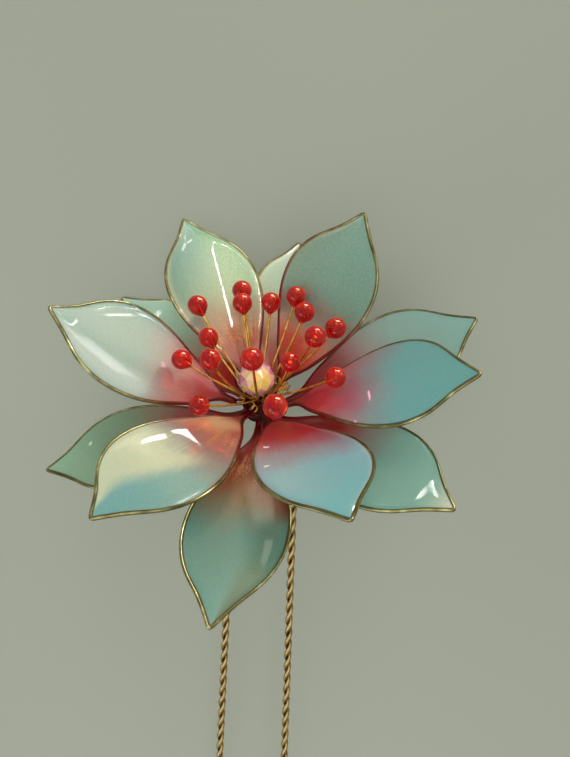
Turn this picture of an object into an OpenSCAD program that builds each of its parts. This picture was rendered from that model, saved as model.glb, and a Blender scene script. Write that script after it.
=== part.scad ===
// Two-pronged hair fork of twisted wire that carries a double flower of dipped
// wire petals, with bead-tipped stamens round a faceted crystal.
// It lies on its back, as it comes to rest by itself on a table.

/* [Fork] */
// Thickness of the two strands twisted together
rope_d = 1.5; // [1.4:0.1:1.6]
// Length in which a strand goes once round the other
rope_pitch = 5; // [4:0.5:6]
// Length of the fork from the top of its bend to the prong tips
fork_length = 115; // [100:5:125]
// Distance between the middles of the prongs where they leave the bend
prong_spacing = 11.2; // [10.8:0.2:12]
// Angle by which each prong leans outwards
prong_splay = 0.9; // [0.5:0.1:1.5]

/* [Bound stem] */
// Thickness of the stem that is bound under the flower
stem_d = 2; // [1.8:0.1:2.2]
// Width of the knob where the petal wires are gathered
hub_d = 3.8; // [3.6:0.1:4]
// Height of the knob's middle above the top of the bend
hub_rise = 12; // [12:0.5:13]
// Distance of the knob in front of the fork
hub_forward = 3.6; // [3.4:0.1:3.8]
// Distance of the knob to the right of the fork's middle
hub_side = -1; // [-1.2:0.1:-0.8]
// Thickness of the binding where it goes round the bend
wrap_d = 3; // [2.8:0.1:3.2]

/* [Flower] */
// Angle by which the flower's axis leans to the front
flower_lean = 34; // [33:0.5:35]
// Angle by which the flower's axis leans to the right
flower_side_lean = -5.5; // [-6:0.5:-5]
// Thickness of the wire round a petal
petal_wire_d = 0.5; // [0.4:0.05:0.55]
// Thickness of the dipped film that fills a petal
film_t = 0.3; // [0.2:0.05:0.4]
// Height of the inner petals' roots above the knob's middle
inner_root_z = 0.3; // [0.2:0.1:0.5]
// Height of the outer petals' roots above the knob's middle
outer_root_z = -1.5; // [-1.7:0.1:-1.4]

/* [Stamens and crystal] */
// Thickness of a stamen wire
stamen_wire_d = 0.4; // [0.3:0.05:0.4]
// Width of the crystal
crystal_d = 6; // [5.8:0.1:6]
// Height of the crystal's middle above the knob's middle
crystal_rise = 5.8; // [5.7:0.1:6]

/* [Resting pose] */
// Angle by which the prongs rise from their tips towards the flower
rest_pitch = 6.6; // [6.4:0.1:6.8]
// Angle by which the fork rolls on to its outer petals
rest_roll = -10.15; // [-10.4:0.05:-9.9]
// Height of the top of the bend above the surface it lies on
rest_height = 14.92; // [14.8:0.01:15.1]
// Distance from the middle of the resting box to the top of the bend, across
rest_shift_x = 1.5; // [0:0.1:3]
// Distance from the middle of the resting box to the top of the bend, along
rest_shift_y = 35.2; // [33:0.1:37]

/* [Hidden] */
// Columns of the petal table: angle round the flower, angle above the flower's
// plane at the root and at the tip, roll about the middle line at the root, added
// roll at the tip, sideways sweep of the tip, cupping of the edges, length, width,
// and distance of the root from the flower's axis
AROUND = 0;
RISE = 1;
TIP_RISE = 2;
ROLL = 3;
TWIST = 4;
SWEEP = 5;
CUP = 6;
LENGTH = 7;
WIDTH = 8;
ROOT = 9;
INNER_PETALS = [
    [112, 32, 35,   6, -12,  2.5, -0.2, 34.5, 16.0, 2.5],
    [ 41, 46, 59,   4,  12, -0.5,  1.1, 33.0, 16.5, 3.0],
    [-15, 38, 18,  -7,  16, -1.5, -0.4, 33.0, 17.0, 4.5],
    [297, 26, 22, -11,   4, -2.0,  0.7, 33.5, 16.0, 3.5],
    [240, 27, 13,  -6,   0, -0.5,  0.6, 33.5, 16.0, 3.0],
    [181, 34, 51, -12,   6,  1.0,  1.3, 33.0, 16.5, 4.0],
];
OUTER_PETALS = [
    [ 74, 17, 19,   3,   8,  3.5,  0.4, 34.0, 15.0, 3.5],
    [ 17, 14, 21,   6,   4, -1.5,  0.2, 35.5, 17.0, 4.0],
    [320, 16,  1,  -7,   4,  0.0,  0.4, 34.5, 17.0, 2.5],
    [269,  9, -1,   0, -20, -3.0,  0.6, 34.5, 14.5, 4.0],
    [198, -7,  7,  -4,  10,  1.5,  0.8, 33.5, 17.0, 2.5],
    [141, 13, 14,   1,   2,  0.0,  0.5, 33.5, 16.5, 3.0],
];
// Half width of a petal at equal steps from its root to its tip, as a share of its
// largest half width
PETAL_OUTLINE = [0.05, 0.10, 0.40, 0.61, 0.81, 0.95, 1, 0.95, 0.74, 0.33, 0];

// Columns of the stamen table: angle round the flower, angle from the flower's
// axis, distance of the bead's middle from the knob's middle, outward bow of the
// wire, and width of the bead. The rows go round the flower in order.
S_AROUND = 0;
S_LEAN = 1;
S_REACH = 2;
S_BOW = 3;
S_BEAD = 4;
STAMENS = [
    [ -1, 34, 17.5, 0.6, 3.3],
    [ 12, 44, 19.0, 0.6, 3.3],
    [ 38, 36, 17.5, 0.5, 3.3],
    [ 55, 38, 19.0, 0.5, 3.2],
    [ 76, 37, 17.0, 0.5, 3.3],
    [101, 48, 19.5, 0.6, 3.4],
    [103, 35, 17.0, 0.5, 3.3],
    [133, 49, 19.5, 0.7, 3.4],
    [146, 43, 14.0, 0.5, 3.3],
    [180, 48, 15.5, 0.6, 3.2],
    [204, 28, 14.5, 0.9, 3.3],
    [223, 55, 13.5, 0.4, 3.2],
    [277, 23, 18.0, 1.4, 3.4],
    [288, 46, 19.0, 0.6, 3.5],
    [339, 29, 13.0, 0.7, 3.1],
    [342, 54, 16.5, 0.5, 3.2],
];

petal_count = len(INNER_PETALS);
stamen_count = len(STAMENS);
bend_r = prong_spacing / 2;
// Clearance between pieces that meet
seat_gap = 0.05;
// Angle from the flower's axis at which the stamen wires leave the knob, and how
// far their square ends stay above its round top
stamen_root_lean = 43;
stamen_root_gap = 0.15;
hub_position = [hub_side, -hub_forward, hub_rise];
flower_axis = [
    sin(flower_side_lean),
    -sin(flower_lean) * cos(flower_side_lean),
    cos(flower_lean) * cos(flower_side_lean),
];
// The stem runs down the flower's axis until it is over the bend, then straight down
stem_axis_length = hub_forward / (sin(flower_lean) * cos(flower_side_lean));
elbow = hub_position - stem_axis_length * flower_axis;

function numbered(name, count) = [for (i = [1:count]) str(name, "_", i)];

// Value at a share of the way along a list, on a smooth curve through its values
function smooth_at(list, share) =
    let (
        last = len(list) - 1,
        place = min(max(share, 0), 1) * last,
        i = min(floor(place), last - 1),
        f = place - i,
        before = i > 0 ? list[i - 1] : 2 * list[0] - list[1],
        after = i < last - 1 ? list[i + 2] : 2 * list[last] - list[last - 1],
        here = list[i],
        next = list[i + 1]
    )
    here + f / 2 * (next - before
        + f * (2 * before - 5 * here + 4 * next - after
        + f * (3 * (here - next) + after - before)));

function unit(v) = v / norm(v);
function turned(v, angle) = [
    v.x * cos(angle) - v.y * sin(angle),
    v.x * sin(angle) + v.y * cos(angle),
    v.z,
];

// Petals. A petal is worked out along +X, then turned to its place round the flower.
// along goes from 0 at its root to 1 at its tip, and side is the distance in
// millimetres from its middle line.
function half_width(petal, along) =
    max(smooth_at(PETAL_OUTLINE, along), 0) * petal[WIDTH] / 2;
function petal_normal(petal, along) =
    let (
        slope = petal[RISE] + (petal[TIP_RISE] - petal[RISE]) * along,
        roll = petal[ROLL] + petal[TWIST] * along
    )
    turned([-sin(slope) * cos(roll), -sin(roll), cos(slope) * cos(roll)], petal[AROUND]);
function petal_point(petal, root_z, along, side) =
    let (
        mean_slope = petal[RISE] + (petal[TIP_RISE] - petal[RISE]) * along / 2,
        slope = petal[RISE] + (petal[TIP_RISE] - petal[RISE]) * along,
        roll = petal[ROLL] + petal[TWIST] * along,
        lift = petal[CUP] * pow(2 * side / petal[WIDTH], 2),
        sideways = side * cos(roll) - lift * sin(roll) + petal[SWEEP] * along * along,
        raised = side * sin(roll) + lift * cos(roll),
        run = petal[LENGTH] * along
    )
    turned([
        petal[ROOT] + run * cos(mean_slope) - sin(slope) * raised,
        sideways,
        root_z + run * sin(mean_slope) + cos(slope) * raised,
    ], petal[AROUND]);

// Faces of a tube of rings, wound the same way round, with both ends closed
function tube_faces(rings, sides) = concat(
    [[for (j = [sides - 1:-1:0]) j]],
    [for (i = [0:rings - 2], j = [0:sides - 1])
        let (a = i * sides + j, b = i * sides + (j + 1) % sides)
        each [[a, b, a + sides], [b, b + sides, a + sides]]],
    [[for (j = [0:sides - 1]) (rings - 1) * sides + j]]
);

// The wire runs out of the knob, round the petal and back into the knob
petal_wire_sides = 6;
petal_wire_steps = 18;
// Largest lengthening of the wire's section where it is pinched at the tip
pinch = 1.8;
wire_root_r = hub_d / 2 + seat_gap;
function petal_route(petal, root_z) =
    let (
        steps = petal_wire_steps,
        edge = [for (i = [0:steps]) [i / steps, half_width(petal, i / steps)]],
        out = [for (e = edge) [petal_point(petal, root_z, e[0], e[1]), e[0]]],
        back = [for (i = [steps - 1:-1:0])
            [petal_point(petal, root_z, edge[i][0], -edge[i][1]), edge[i][0]]],
        root_half = edge[0][1],
        start = turned([wire_root_r, root_half, root_z], petal[AROUND]),
        finish = turned([wire_root_r, -root_half, root_z], petal[AROUND])
    )
    concat([[start, 0]], out, back, [[finish, 0]]);
module petal_wire(petal, root_z) {
    route = petal_route(petal, root_z);
    last = len(route) - 1;
    points = [for (i = [0:last])
        let (
            here = route[i][0],
            before = i > 0 ? unit(here - route[i - 1][0]) : unit(route[1][0] - here),
            after = i < last ? unit(route[i + 1][0] - here) : before,
            way = unit(before + after),
            stretch = min(1 / (before * way), pinch),
            face = petal_normal(petal, route[i][1]),
            up = unit(face - (face * way) * way),
            side = cross(way, up)
        )
        for (j = [0:petal_wire_sides - 1])
            let (angle = 360 * j / petal_wire_sides)
            here + petal_wire_d / 2 * (cos(angle) * stretch * side + sin(angle) * up)
    ];
    color("goldenrod")
    polyhedron(points, tube_faces(last + 1, petal_wire_sides));
}

// The film stops a small gap inside the wire all round
film_rows = 14;
film_columns = 4;
film_start = 0.04;
film_end = 0.972;
// Distance from the middle of the wire to the film, square to the petal's edge
film_inset = petal_wire_d / 2 + 2.5 * seat_gap;
film_tip_half = 0.05;
slope_step = 0.01;
function film_half(petal, along) =
    let (
        rise = half_width(petal, along + slope_step) - half_width(petal, along - slope_step),
        edge_slope = rise / (2 * slope_step * petal[LENGTH])
    )
    max(half_width(petal, along) - film_inset * norm([1, edge_slope]), film_tip_half);
module petal_film(petal, root_z) {
    columns = film_columns + 1;
    layer = (film_rows + 1) * columns;
    grid = [for (i = [0:film_rows])
        let (
            along = film_start + (film_end - film_start) * i / film_rows,
            half = film_half(petal, along),
            lift = film_t / 2 * petal_normal(petal, along)
        )
        for (j = [0:film_columns])
            [petal_point(petal, root_z, along, half * (2 * j / film_columns - 1)), lift]
    ];
    points = concat([for (g = grid) g[0] + g[1]], [for (g = grid) g[0] - g[1]]);
    cells = [for (i = [0:film_rows - 1], j = [0:film_columns - 1]) i * columns + j];
    upper = [for (a = cells) each [[a, a + 1, a + columns], [a + 1, a + columns + 1, a + columns]]];
    lower = [for (f = upper) [f[0] + layer, f[2] + layer, f[1] + layer]];
    rim = concat(
        [for (j = [0:film_columns]) j],
        [for (i = [1:film_rows]) i * columns + film_columns],
        [for (j = [film_columns - 1:-1:0]) film_rows * columns + j],
        [for (i = [film_rows - 1:-1:1]) i * columns]
    );
    wall = [for (k = [0:len(rim) - 1])
        let (a = rim[k], b = rim[(k + 1) % len(rim)])
        each [[b, a, a + layer], [b, a + layer, b + layer]]];
    color("lightseagreen")
    polyhedron(points, concat(upper, lower, wall));
}

// The fork is one rope of two strands, bent into a narrow arch. Its section is two
// touching round strands, which turn as they go along. It is worked out left-handed
// and mirrored, because the strands are laid right-handed.
rope_sides = 8;
rope_rings_per_turn = 7;
rope_waist = 0.16;
tip_rounding = 0.6;
prong_length = (fork_length - bend_r) / cos(prong_splay);
bend_angle = 180 - 2 * prong_splay;
bend_length = PI * bend_r * bend_angle / 180;
rope_length = 2 * prong_length + bend_length;
// Place and direction at a distance along the rope, from the left tip to the right tip
function bend_frame(angle) = [
    [bend_r * cos(angle), 0, bend_r * sin(angle) - bend_r],
    [sin(angle), 0, -cos(angle)],
];
function fork_frame(distance) =
    distance < prong_length
        ? let (f = bend_frame(180 - prong_splay)) [f[0] - (prong_length - distance) * f[1], f[1]]
    : distance > prong_length + bend_length
        ? let (f = bend_frame(prong_splay))
            [f[0] + (distance - prong_length - bend_length) * f[1], f[1]]
    : bend_frame(180 - prong_splay - bend_angle * (distance - prong_length) / bend_length);
module fork() {
    rings = floor(rope_length / rope_pitch * rope_rings_per_turn);
    points = [for (i = [0:rings])
        let (
            distance = rope_length * i / rings,
            frame = fork_frame(distance),
            side = cross(frame[1], [0, 1, 0]),
            from_end = min(distance, rope_length - distance),
            size = from_end < tip_rounding ? 0.5 + 0.5 * from_end / tip_rounding : 1
        )
        for (j = [0:rope_sides - 1])
            let (
                angle = 360 * j / rope_sides,
                radius = size * max(rope_d / 2 * abs(cos(angle)), rope_d * rope_waist),
                turn = angle + 360 * distance / rope_pitch
            )
            frame[0] + radius * (cos(turn) * side + sin(turn) * [0, 1, 0])
    ];
    color("darkgoldenrod")
    mirror([0, 1, 0])
    polyhedron(points, tube_faces(rings + 1, rope_sides));
}

// The binding gathers the petal wires in a knob, runs down as a stem and goes round
// the bend of the fork, which passes through it
wrap_angle = 26;
// The stem's two straight runs end in a slightly wider ball where it turns
elbow_d = stem_d + 0.2;
module torus_piece(tube_d, from_angle, to_angle) {
    translate([0, 0, -bend_r])
    rotate([90, 0, 0])
    rotate([0, 0, from_angle])
    rotate_extrude(angle = to_angle - from_angle, $fn = 96)
    translate([bend_r, 0])
    circle(d = tube_d, $fn = 32);
}
module on_flower_axis() {
    translate(hub_position)
    rotate([flower_lean, 0, 0])
    rotate([0, flower_side_lean, 0])
    children();
}
module stem_binding() {
    color("#4a1418")
    difference() {
        union() {
            on_flower_axis() {
                translate([0, 0, outer_root_z])
                    cylinder(d = hub_d, h = inner_root_z - outer_root_z, $fn = 48);
                translate([0, 0, inner_root_z]) sphere(d = hub_d, $fn = 48);
                translate([0, 0, outer_root_z - hub_d / 2])
                    cylinder(d1 = stem_d, d2 = hub_d, h = hub_d / 2, $fn = 48);
                translate([0, 0, -stem_axis_length])
                    cylinder(d = stem_d, h = stem_axis_length + outer_root_z, $fn = 48);
            }
            translate(elbow) sphere(d = elbow_d, $fn = 48);
            translate([elbow.x, elbow.y, 0]) cylinder(d = stem_d, h = elbow.z, $fn = 48);
            torus_piece(wrap_d, 90 - wrap_angle, 90 + wrap_angle);
        }
        torus_piece(rope_d + 2 * seat_gap, 90 - 2 * wrap_angle, 90 + 2 * wrap_angle);
    }
}

// The crystal is a round bead cut in rows of facets, with a table at each end
crystal_sides = 10;
// Columns: radius and height of each row, as shares of the crystal's radius
CRYSTAL_ROWS = [[0.42, -0.9], [0.8, -0.6], [1, -0.15], [1, 0.15], [0.8, 0.6], [0.42, 0.9]];
crystal_bottom = crystal_rise - 0.9 * crystal_d / 2;
module centre_crystal() {
    radius = crystal_d / 2;
    color("thistle")
    translate([0, 0, crystal_rise])
    rotate_extrude($fn = crystal_sides)
    polygon(concat(
        [[0, CRYSTAL_ROWS[0][1] * radius]],
        radius * CRYSTAL_ROWS,
        [[0, CRYSTAL_ROWS[len(CRYSTAL_ROWS) - 1][1] * radius]]
    ));
}
module crystal_pin() {
    pin_bottom = inner_root_z + hub_d / 2 + seat_gap;
    color("goldenrod")
    translate([0, 0, pin_bottom])
    cylinder(d = stamen_wire_d, h = crystal_bottom - seat_gap - pin_bottom, $fn = 24);
}

// Stamens. Each wire is an arc from the knob to the middle of its bead.
bore_clearance = 0.15;
// How far the wire goes into the bead, and where the drop's point starts
bead_depth_share = 0.7;
bead_point_share = 1.35;
function at_angles(distance, lean, around) =
    distance * [sin(lean) * cos(around), sin(lean) * sin(around), cos(lean)];
function stamen_root(i) =
    [0, 0, inner_root_z]
    + at_angles(hub_d / 2 + stamen_root_gap, stamen_root_lean, 360 * i / stamen_count);
function stamen_tip(stamen) =
    at_angles(stamen[S_REACH], stamen[S_LEAN], stamen[S_AROUND]);
// Puts its children at the root of a stamen, with +Z along the line to its bead
module along_stamen(i) {
    chord = stamen_tip(STAMENS[i]) - stamen_root(i);
    translate(stamen_root(i))
    rotate([0, acos(chord.z / norm(chord)), atan2(chord.y, chord.x)])
    children();
}
function stamen_span(i) = norm(stamen_tip(STAMENS[i]) - stamen_root(i));
function bow_radius(span, bow) = (span * span / 4 + bow * bow) / (2 * bow);
module stamen_wire(i) {
    bow = STAMENS[i][S_BOW];
    span = stamen_span(i);
    radius = bow_radius(span, bow);
    half_angle = asin(span / 2 / radius);
    color("goldenrod")
    along_stamen(i)
    translate([bow - radius, 0, span / 2])
    rotate([90, 0, 0])
    rotate([0, 0, -half_angle])
    rotate_extrude(angle = 2 * half_angle, $fn = 180)
    translate([radius, 0])
    circle(d = stamen_wire_d, $fn = 24);
}
// A clear drop, round at its end and drawn to a point along the wire, with the hole
// that the wire fills
module stamen_bead(i) {
    bow = STAMENS[i][S_BOW];
    span = stamen_span(i);
    half_angle = asin(span / 2 / bow_radius(span, bow));
    radius = STAMENS[i][S_BEAD] / 2;
    bore_r = stamen_wire_d / 2 + bore_clearance;
    // The point is the cone that touches the round drop
    touch_angle = acos(1 / bead_point_share);
    color("crimson")
    along_stamen(i)
    translate([0, 0, span])
    rotate([0, -half_angle, 0])
    rotate_extrude($fn = 32)
    difference() {
        intersection() {
            union() {
                circle(r = radius, $fn = 48);
                polygon([
                    [0, -radius * bead_point_share],
                    [radius * sin(touch_angle), -radius * cos(touch_angle)],
                    [0, 0],
                ]);
            }
            translate([0, -2 * radius]) square([radius, 4 * radius]);
        }
        translate([-bore_r, -2 * radius])
            square([2 * bore_r, 2 * radius + bead_depth_share * radius / 2]);
    }
}

// Turns the fork from upright to lying on its back, with the prongs towards -Y
module at_rest() {
    translate([rest_shift_x, rest_shift_y, rest_height])
    rotate([0, rest_roll, 0])
    rotate([rest_pitch - 90, 0, 0])
    children();
}
module in_flower() {
    at_rest() on_flower_axis() children();
}

at_rest() fork();
at_rest() stem_binding();
in_flower() centre_crystal();
in_flower() crystal_pin();
for (i = [0:petal_count - 1]) {
    in_flower() petal_wire(INNER_PETALS[i], inner_root_z);
    in_flower() petal_film(INNER_PETALS[i], inner_root_z);
    in_flower() petal_wire(OUTER_PETALS[i], outer_root_z);
    in_flower() petal_film(OUTER_PETALS[i], outer_root_z);
}
for (i = [0:stamen_count - 1]) {
    in_flower() stamen_wire(i);
    in_flower() stamen_bead(i);
}
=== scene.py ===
import math
import random
from collections import namedtuple

import bmesh
import bpy
from mathutils import Matrix, Vector


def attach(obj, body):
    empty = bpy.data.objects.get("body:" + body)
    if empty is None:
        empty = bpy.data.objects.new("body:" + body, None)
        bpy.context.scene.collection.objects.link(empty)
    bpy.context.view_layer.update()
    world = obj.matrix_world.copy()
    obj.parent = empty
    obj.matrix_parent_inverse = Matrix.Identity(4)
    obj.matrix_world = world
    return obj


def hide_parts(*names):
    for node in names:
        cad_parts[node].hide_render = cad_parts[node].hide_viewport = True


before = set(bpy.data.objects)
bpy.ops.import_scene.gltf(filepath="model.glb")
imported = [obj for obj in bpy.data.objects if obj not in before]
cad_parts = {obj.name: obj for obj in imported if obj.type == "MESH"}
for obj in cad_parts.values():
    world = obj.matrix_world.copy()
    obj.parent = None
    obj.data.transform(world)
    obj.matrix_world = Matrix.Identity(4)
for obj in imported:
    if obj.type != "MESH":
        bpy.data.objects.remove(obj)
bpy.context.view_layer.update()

# How the fork lies. It rests on its back, on two outer petals and its prong tips, with
# the flower's face up. Each piece is worked out as the fork is worn, in millimetres,
# with the top of the bend at the origin, the prongs down -Z and the front towards -Y.
def turned(degrees, axis):
    """A turn about an axis of the frame."""
    return Matrix.Rotation(math.radians(degrees), 4, axis)


rest_place = (1.5, 35.2, 14.92)
rest_roll = -10.15
rest_pitch = 6.6
worn_to_rest = (
    Matrix.Translation(rest_place) @ turned(rest_roll, "Y") @ turned(rest_pitch - 90, "X")
)
hub_place = Vector((-1.0, -3.6, 12.0))
flower_lean = 34
flower_side_lean = -5.5
flower_to_worn = (
    Matrix.Translation(hub_place) @ turned(flower_lean, "X") @ turned(flower_side_lean, "Y")
)
flower_to_rest = worn_to_rest @ flower_to_worn
mm = 0.001
mm_to_m = Matrix.Scale(mm, 4)


# Camera. It looks at the flower's face from a hand's width above, a little from the
# prongs' side, so that the prongs run out of the bottom of the frame. The frame's size is
# in pixels, and the camera's three turns are in degrees.
frame_w = 570
frame_h = 757
camera_place = mm_to_m @ Vector((-13.3, 58.4, 115.1))
camera_turn = 2.73
camera_side_tilt = -9.93
camera_tilt = -4.88
camera_data = bpy.data.cameras.new("camera")
camera_data.sensor_width = 36
camera_data.lens = camera_data.sensor_width * frame_w / frame_h
camera_data.clip_start = 0.005
camera_data.clip_end = 20
camera = bpy.data.objects.new("camera", camera_data)
camera.matrix_world = (
    Matrix.Translation(camera_place)
    @ turned(camera_turn, "Z") @ turned(camera_side_tilt, "Y") @ turned(camera_tilt, "X")
)
bpy.context.scene.collection.objects.link(camera)
bpy.context.scene.camera = camera


# Twisted fork. Two strands of gilt brass wire are laid tightly together, right-handed,
# into a rope, which is bent into a narrow U. It is darker in the grooves and lighter on the
# high parts: partly patina and rubbed wear, partly painted shade in the grooves.
rope_d = 1.5
strand_d = 0.84
rope_pitch = 5.0
fork_length = 115.0
bend_r = 5.6
prong_splay = 0.9
rope_points_per_turn = 14
strand_sides = 10
# The strands are ground round at their ends, to a share of their width
tip_share = 0.55
tip_length = 0.6

prong_length = (fork_length - bend_r) / math.cos(math.radians(prong_splay))
bend_angle = 180 - 2 * prong_splay
bend_length = math.pi * bend_r * bend_angle / 180
rope_length = 2 * prong_length + bend_length


def bend_frame(angle):
    """Place and direction on the fork's bend, at an angle round it."""
    over = math.cos(math.radians(angle))
    up = math.sin(math.radians(angle))
    return Vector((bend_r * over, 0, bend_r * up - bend_r)), Vector((up, 0, -over))


def fork_frame(distance):
    """Place and direction on the fork's middle line, from the left tip to the right."""
    if distance < prong_length:
        place, way = bend_frame(180 - prong_splay)
        return place - (prong_length - distance) * way, way
    past_bend = distance - prong_length - bend_length
    if past_bend > 0:
        place, way = bend_frame(prong_splay)
        return place + past_bend * way, way
    share = (distance - prong_length) / bend_length
    return bend_frame(180 - prong_splay - bend_angle * share)


def wire_mesh(routes, thickness, sides):
    """Round wires with closed ends. A route is a list of (place, share of thickness)."""
    curve = bpy.data.curves.new("wire", "CURVE")
    curve.dimensions = "3D"
    curve.bevel_depth = thickness / 2
    curve.bevel_resolution = sides // 2 - 2
    curve.use_fill_caps = True
    for route in routes:
        spline = curve.splines.new("POLY")
        spline.points.add(len(route) - 1)
        for point, (place, share) in zip(spline.points, route):
            point.co = (*place, 1)
            point.radius = share
    carrier = bpy.data.objects.new("wire", curve)
    bpy.context.scene.collection.objects.link(carrier)
    depsgraph = bpy.context.evaluated_depsgraph_get()
    mesh = bpy.data.meshes.new_from_object(carrier.evaluated_get(depsgraph))
    bpy.data.objects.remove(carrier)
    bpy.data.curves.remove(curve)
    return mesh


def add_piece(name, mesh, place, finish, slot, *nodes, smooth=True):
    """Puts a finished mesh at its place in the object and hides the nodes it stands for."""
    mesh.name = name
    mesh.transform(mm_to_m @ place)
    mesh.polygons.foreach_set("use_smooth", [smooth] * len(mesh.polygons))
    mesh.materials.clear()
    mesh.materials.append(finish)
    piece = bpy.data.objects.new(name, mesh)
    bpy.context.scene.collection.objects.link(piece)
    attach(piece, "root")
    if nodes:
        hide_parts(*nodes)


def paint(red, green, blue):
    """Linear colour of a screen colour from 0 to 255."""
    shares = [value / 255 for value in (red, green, blue)]
    return (*[s / 12.92 if s <= 0.04045 else ((s + 0.055) / 1.055) ** 2.4 for s in shares], 1)


class Nodes:
    """Short ways to add nodes to a tree."""

    def __init__(self, tree):
        self.tree = tree

    def node(self, kind, **settings):
        made = self.tree.nodes.new("ShaderNode" + kind)
        for key, value in settings.items():
            if key.startswith("in_"):
                made.inputs[key[3:].replace("_", " ")].default_value = value
            else:
                setattr(made, key, value)
        return made

    def link(self, source, target):
        self.tree.links.new(source, target)

    def noise(self, scale, detail, coordinates=None, stretch=(1, 1, 1)):
        """Noise on object coordinates, or on others given, as a value about 0.5."""
        place = coordinates or self.node("TexCoord").outputs["Object"]
        mapping = self.node("Mapping")
        mapping.inputs["Scale"].default_value = stretch
        self.link(place, mapping.inputs["Vector"])
        made = self.node("TexNoise", in_Scale=scale, in_Detail=detail)
        self.link(mapping.outputs["Vector"], made.inputs["Vector"])
        return made.outputs["Fac"]

    def math(self, operation, *values):
        made = self.node("Math", operation=operation)
        for socket, value in zip(made.inputs, values):
            if isinstance(value, (int, float)):
                socket.default_value = value
            else:
                self.link(value, socket)
        return made.outputs[0]

    def ramp(self, value, stops):
        """Colours by a value. Stops are (value, colour) in order."""
        made = self.node("ValToRGB")
        elements = made.color_ramp.elements
        while len(elements) < len(stops):
            elements.new(1)
        for element, (at, colour) in zip(elements, stops):
            element.position = at
            element.color = colour
        self.link(value, made.inputs["Fac"])
        return made.outputs["Color"]

    def attribute(self, name):
        return self.node("Attribute", attribute_name=name).outputs["Fac"]

    def step(self, value, none, full):
        """A soft step from 0 to 1 between two values."""
        made = self.node(
            "MapRange", interpolation_type="SMOOTHSTEP", in_From_Min=none, in_From_Max=full
        )
        self.link(value, made.inputs["Value"])
        return made.outputs["Result"]

    def mix(self, share, first, second, how="MIX"):
        """Two colours mixed. The share and each colour are a value or a socket."""
        made = self.node("Mix", data_type="RGBA", blend_type=how)
        for number, source in ((0, share), (6, first), (7, second)):
            if isinstance(source, (int, float, tuple)):
                made.inputs[number].default_value = source
            else:
                self.link(source, made.inputs[number])
        return made.outputs[2]

    def bump(self, height, depth, over=None):
        """Relief of a height, depth in metres, over the shape or over other relief."""
        made = self.node("Bump", in_Strength=1.0, in_Distance=depth)
        self.link(height, made.inputs["Height"])
        if over:
            self.link(over, made.inputs["Normal"])
        return made.outputs["Normal"]


class Finish(Nodes):
    """A material with its shader."""

    def __init__(self, name, **sockets):
        self.material = bpy.data.materials.new(name)
        self.material.use_nodes = True
        super().__init__(self.material.node_tree)
        self.shader = self.tree.nodes["Principled BSDF"]
        for socket, value in sockets.items():
            title = socket.replace("_", " ").title().replace("Ior", "IOR")
            self.shader.inputs[title].default_value = value

    def relief(self, height, depth):
        self.link(self.bump(height, depth), self.shader.inputs["Normal"])


def strand_route(start_angle):
    """Route of one strand round the fork's middle line, thinner at its ends."""
    count = round(rope_length / rope_pitch * rope_points_per_turn)
    route = []
    for i in range(count + 1):
        distance = rope_length * i / count
        place, way = fork_frame(distance)
        front = Vector((0, 1, 0))
        angle = math.radians(start_angle - 360 * distance / rope_pitch)
        out = math.cos(angle) * way.cross(front) + math.sin(angle) * front
        from_end = min(distance, rope_length - distance)
        share = min(1, tip_share + (1 - tip_share) * from_end / tip_length)
        route.append((place + (rope_d - strand_d) / 2 * share * out, share))
    return route


def height_of(place):
    """Distance of a place from the rope's middle line, as a share of the rope's radius."""
    if place.z > -bend_r:
        ring = math.hypot(place.x, place.z + bend_r) - bend_r
        return math.hypot(ring, place.y) / (rope_d / 2)
    prong, way = bend_frame(prong_splay if place.x > 0 else 180 - prong_splay)
    return (place - prong).cross(way).length / (rope_d / 2)


gilt = Finish("gilt_rope", metallic=1.0)
height_in_rope = gilt.attribute("height_in_rope")
smudge = gilt.noise(scale=900, detail=3)
smudged = gilt.math("MULTIPLY", gilt.math("SUBTRACT", smudge, 0.5), 0.5)
# Darker in the grooves and lighter on the high parts: patina and wear, with painted shade in the
# grooves
wear_and_groove_shade = gilt.math("ADD", height_in_rope, smudged)
gilt.link(gilt.ramp(wear_and_groove_shade, [
    (0.38, paint(50, 26, 14)),
    (0.56, paint(120, 84, 50)),
    (0.72, paint(178, 146, 92)),
    (1.00, paint(208, 182, 126)),
]), gilt.shader.inputs["Base Color"])
gilt.link(gilt.math("MULTIPLY_ADD", smudge, 0.3, 0.2), gilt.shader.inputs["Roughness"])
gilt.relief(gilt.noise(scale=6000, detail=2), depth=0.00001)

fork_mesh = wire_mesh([strand_route(0), strand_route(180)], strand_d, strand_sides)
heights = fork_mesh.attributes.new("height_in_rope", "FLOAT", "POINT")
heights.data.foreach_set("value", [height_of(v.co) for v in fork_mesh.vertices])
add_piece("twisted_fork", fork_mesh, worn_to_rest, gilt.material, "twisted_wire", "fork")


# Bound stem. The ends of all the petal wires are gathered in a knob, taken down as a
# stem, and wound with dark crimson thread down to the fork and round its bend.
stem_d = 2.0
hub_d = 3.8
stem_steps = 60
foot_height = 0.4
# The winding reaches an angle to each side of the bend's top, and thins at its ends
wrap_d = 3.0
wrap_taper = 0.7
wrap_angle = 26
wrap_steps = 24
core_sides = 16
thread_d = 0.3
thread_sides = 6
thread_points_per_turn = 14
stem_thread_pitch = 0.27
wrap_thread_pitch = 0.28
inner_root_z = 0.3
outer_root_z = -1.5
# The stem follows the flower's axis down to where it meets the fork's plane
flower_axis = flower_to_worn.to_3x3() @ Vector((0, 0, 1))
stem_axis_length = hub_place.y / flower_axis.y


def blend_places(line, share):
    """Place, width and direction at a share of the way along a line of (place, width)."""
    lengths = [(b[0] - a[0]).length for a, b in zip(line, line[1:])]
    left = share * sum(lengths)
    for a, b, length in zip(line, line[1:], lengths):
        if left <= length or b is line[-1]:
            part = min(left / length, 1)
            place = a[0].lerp(b[0], part)
            return place, a[1] + (b[1] - a[1]) * part, (b[0] - a[0]).normalized()
        left -= length


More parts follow.
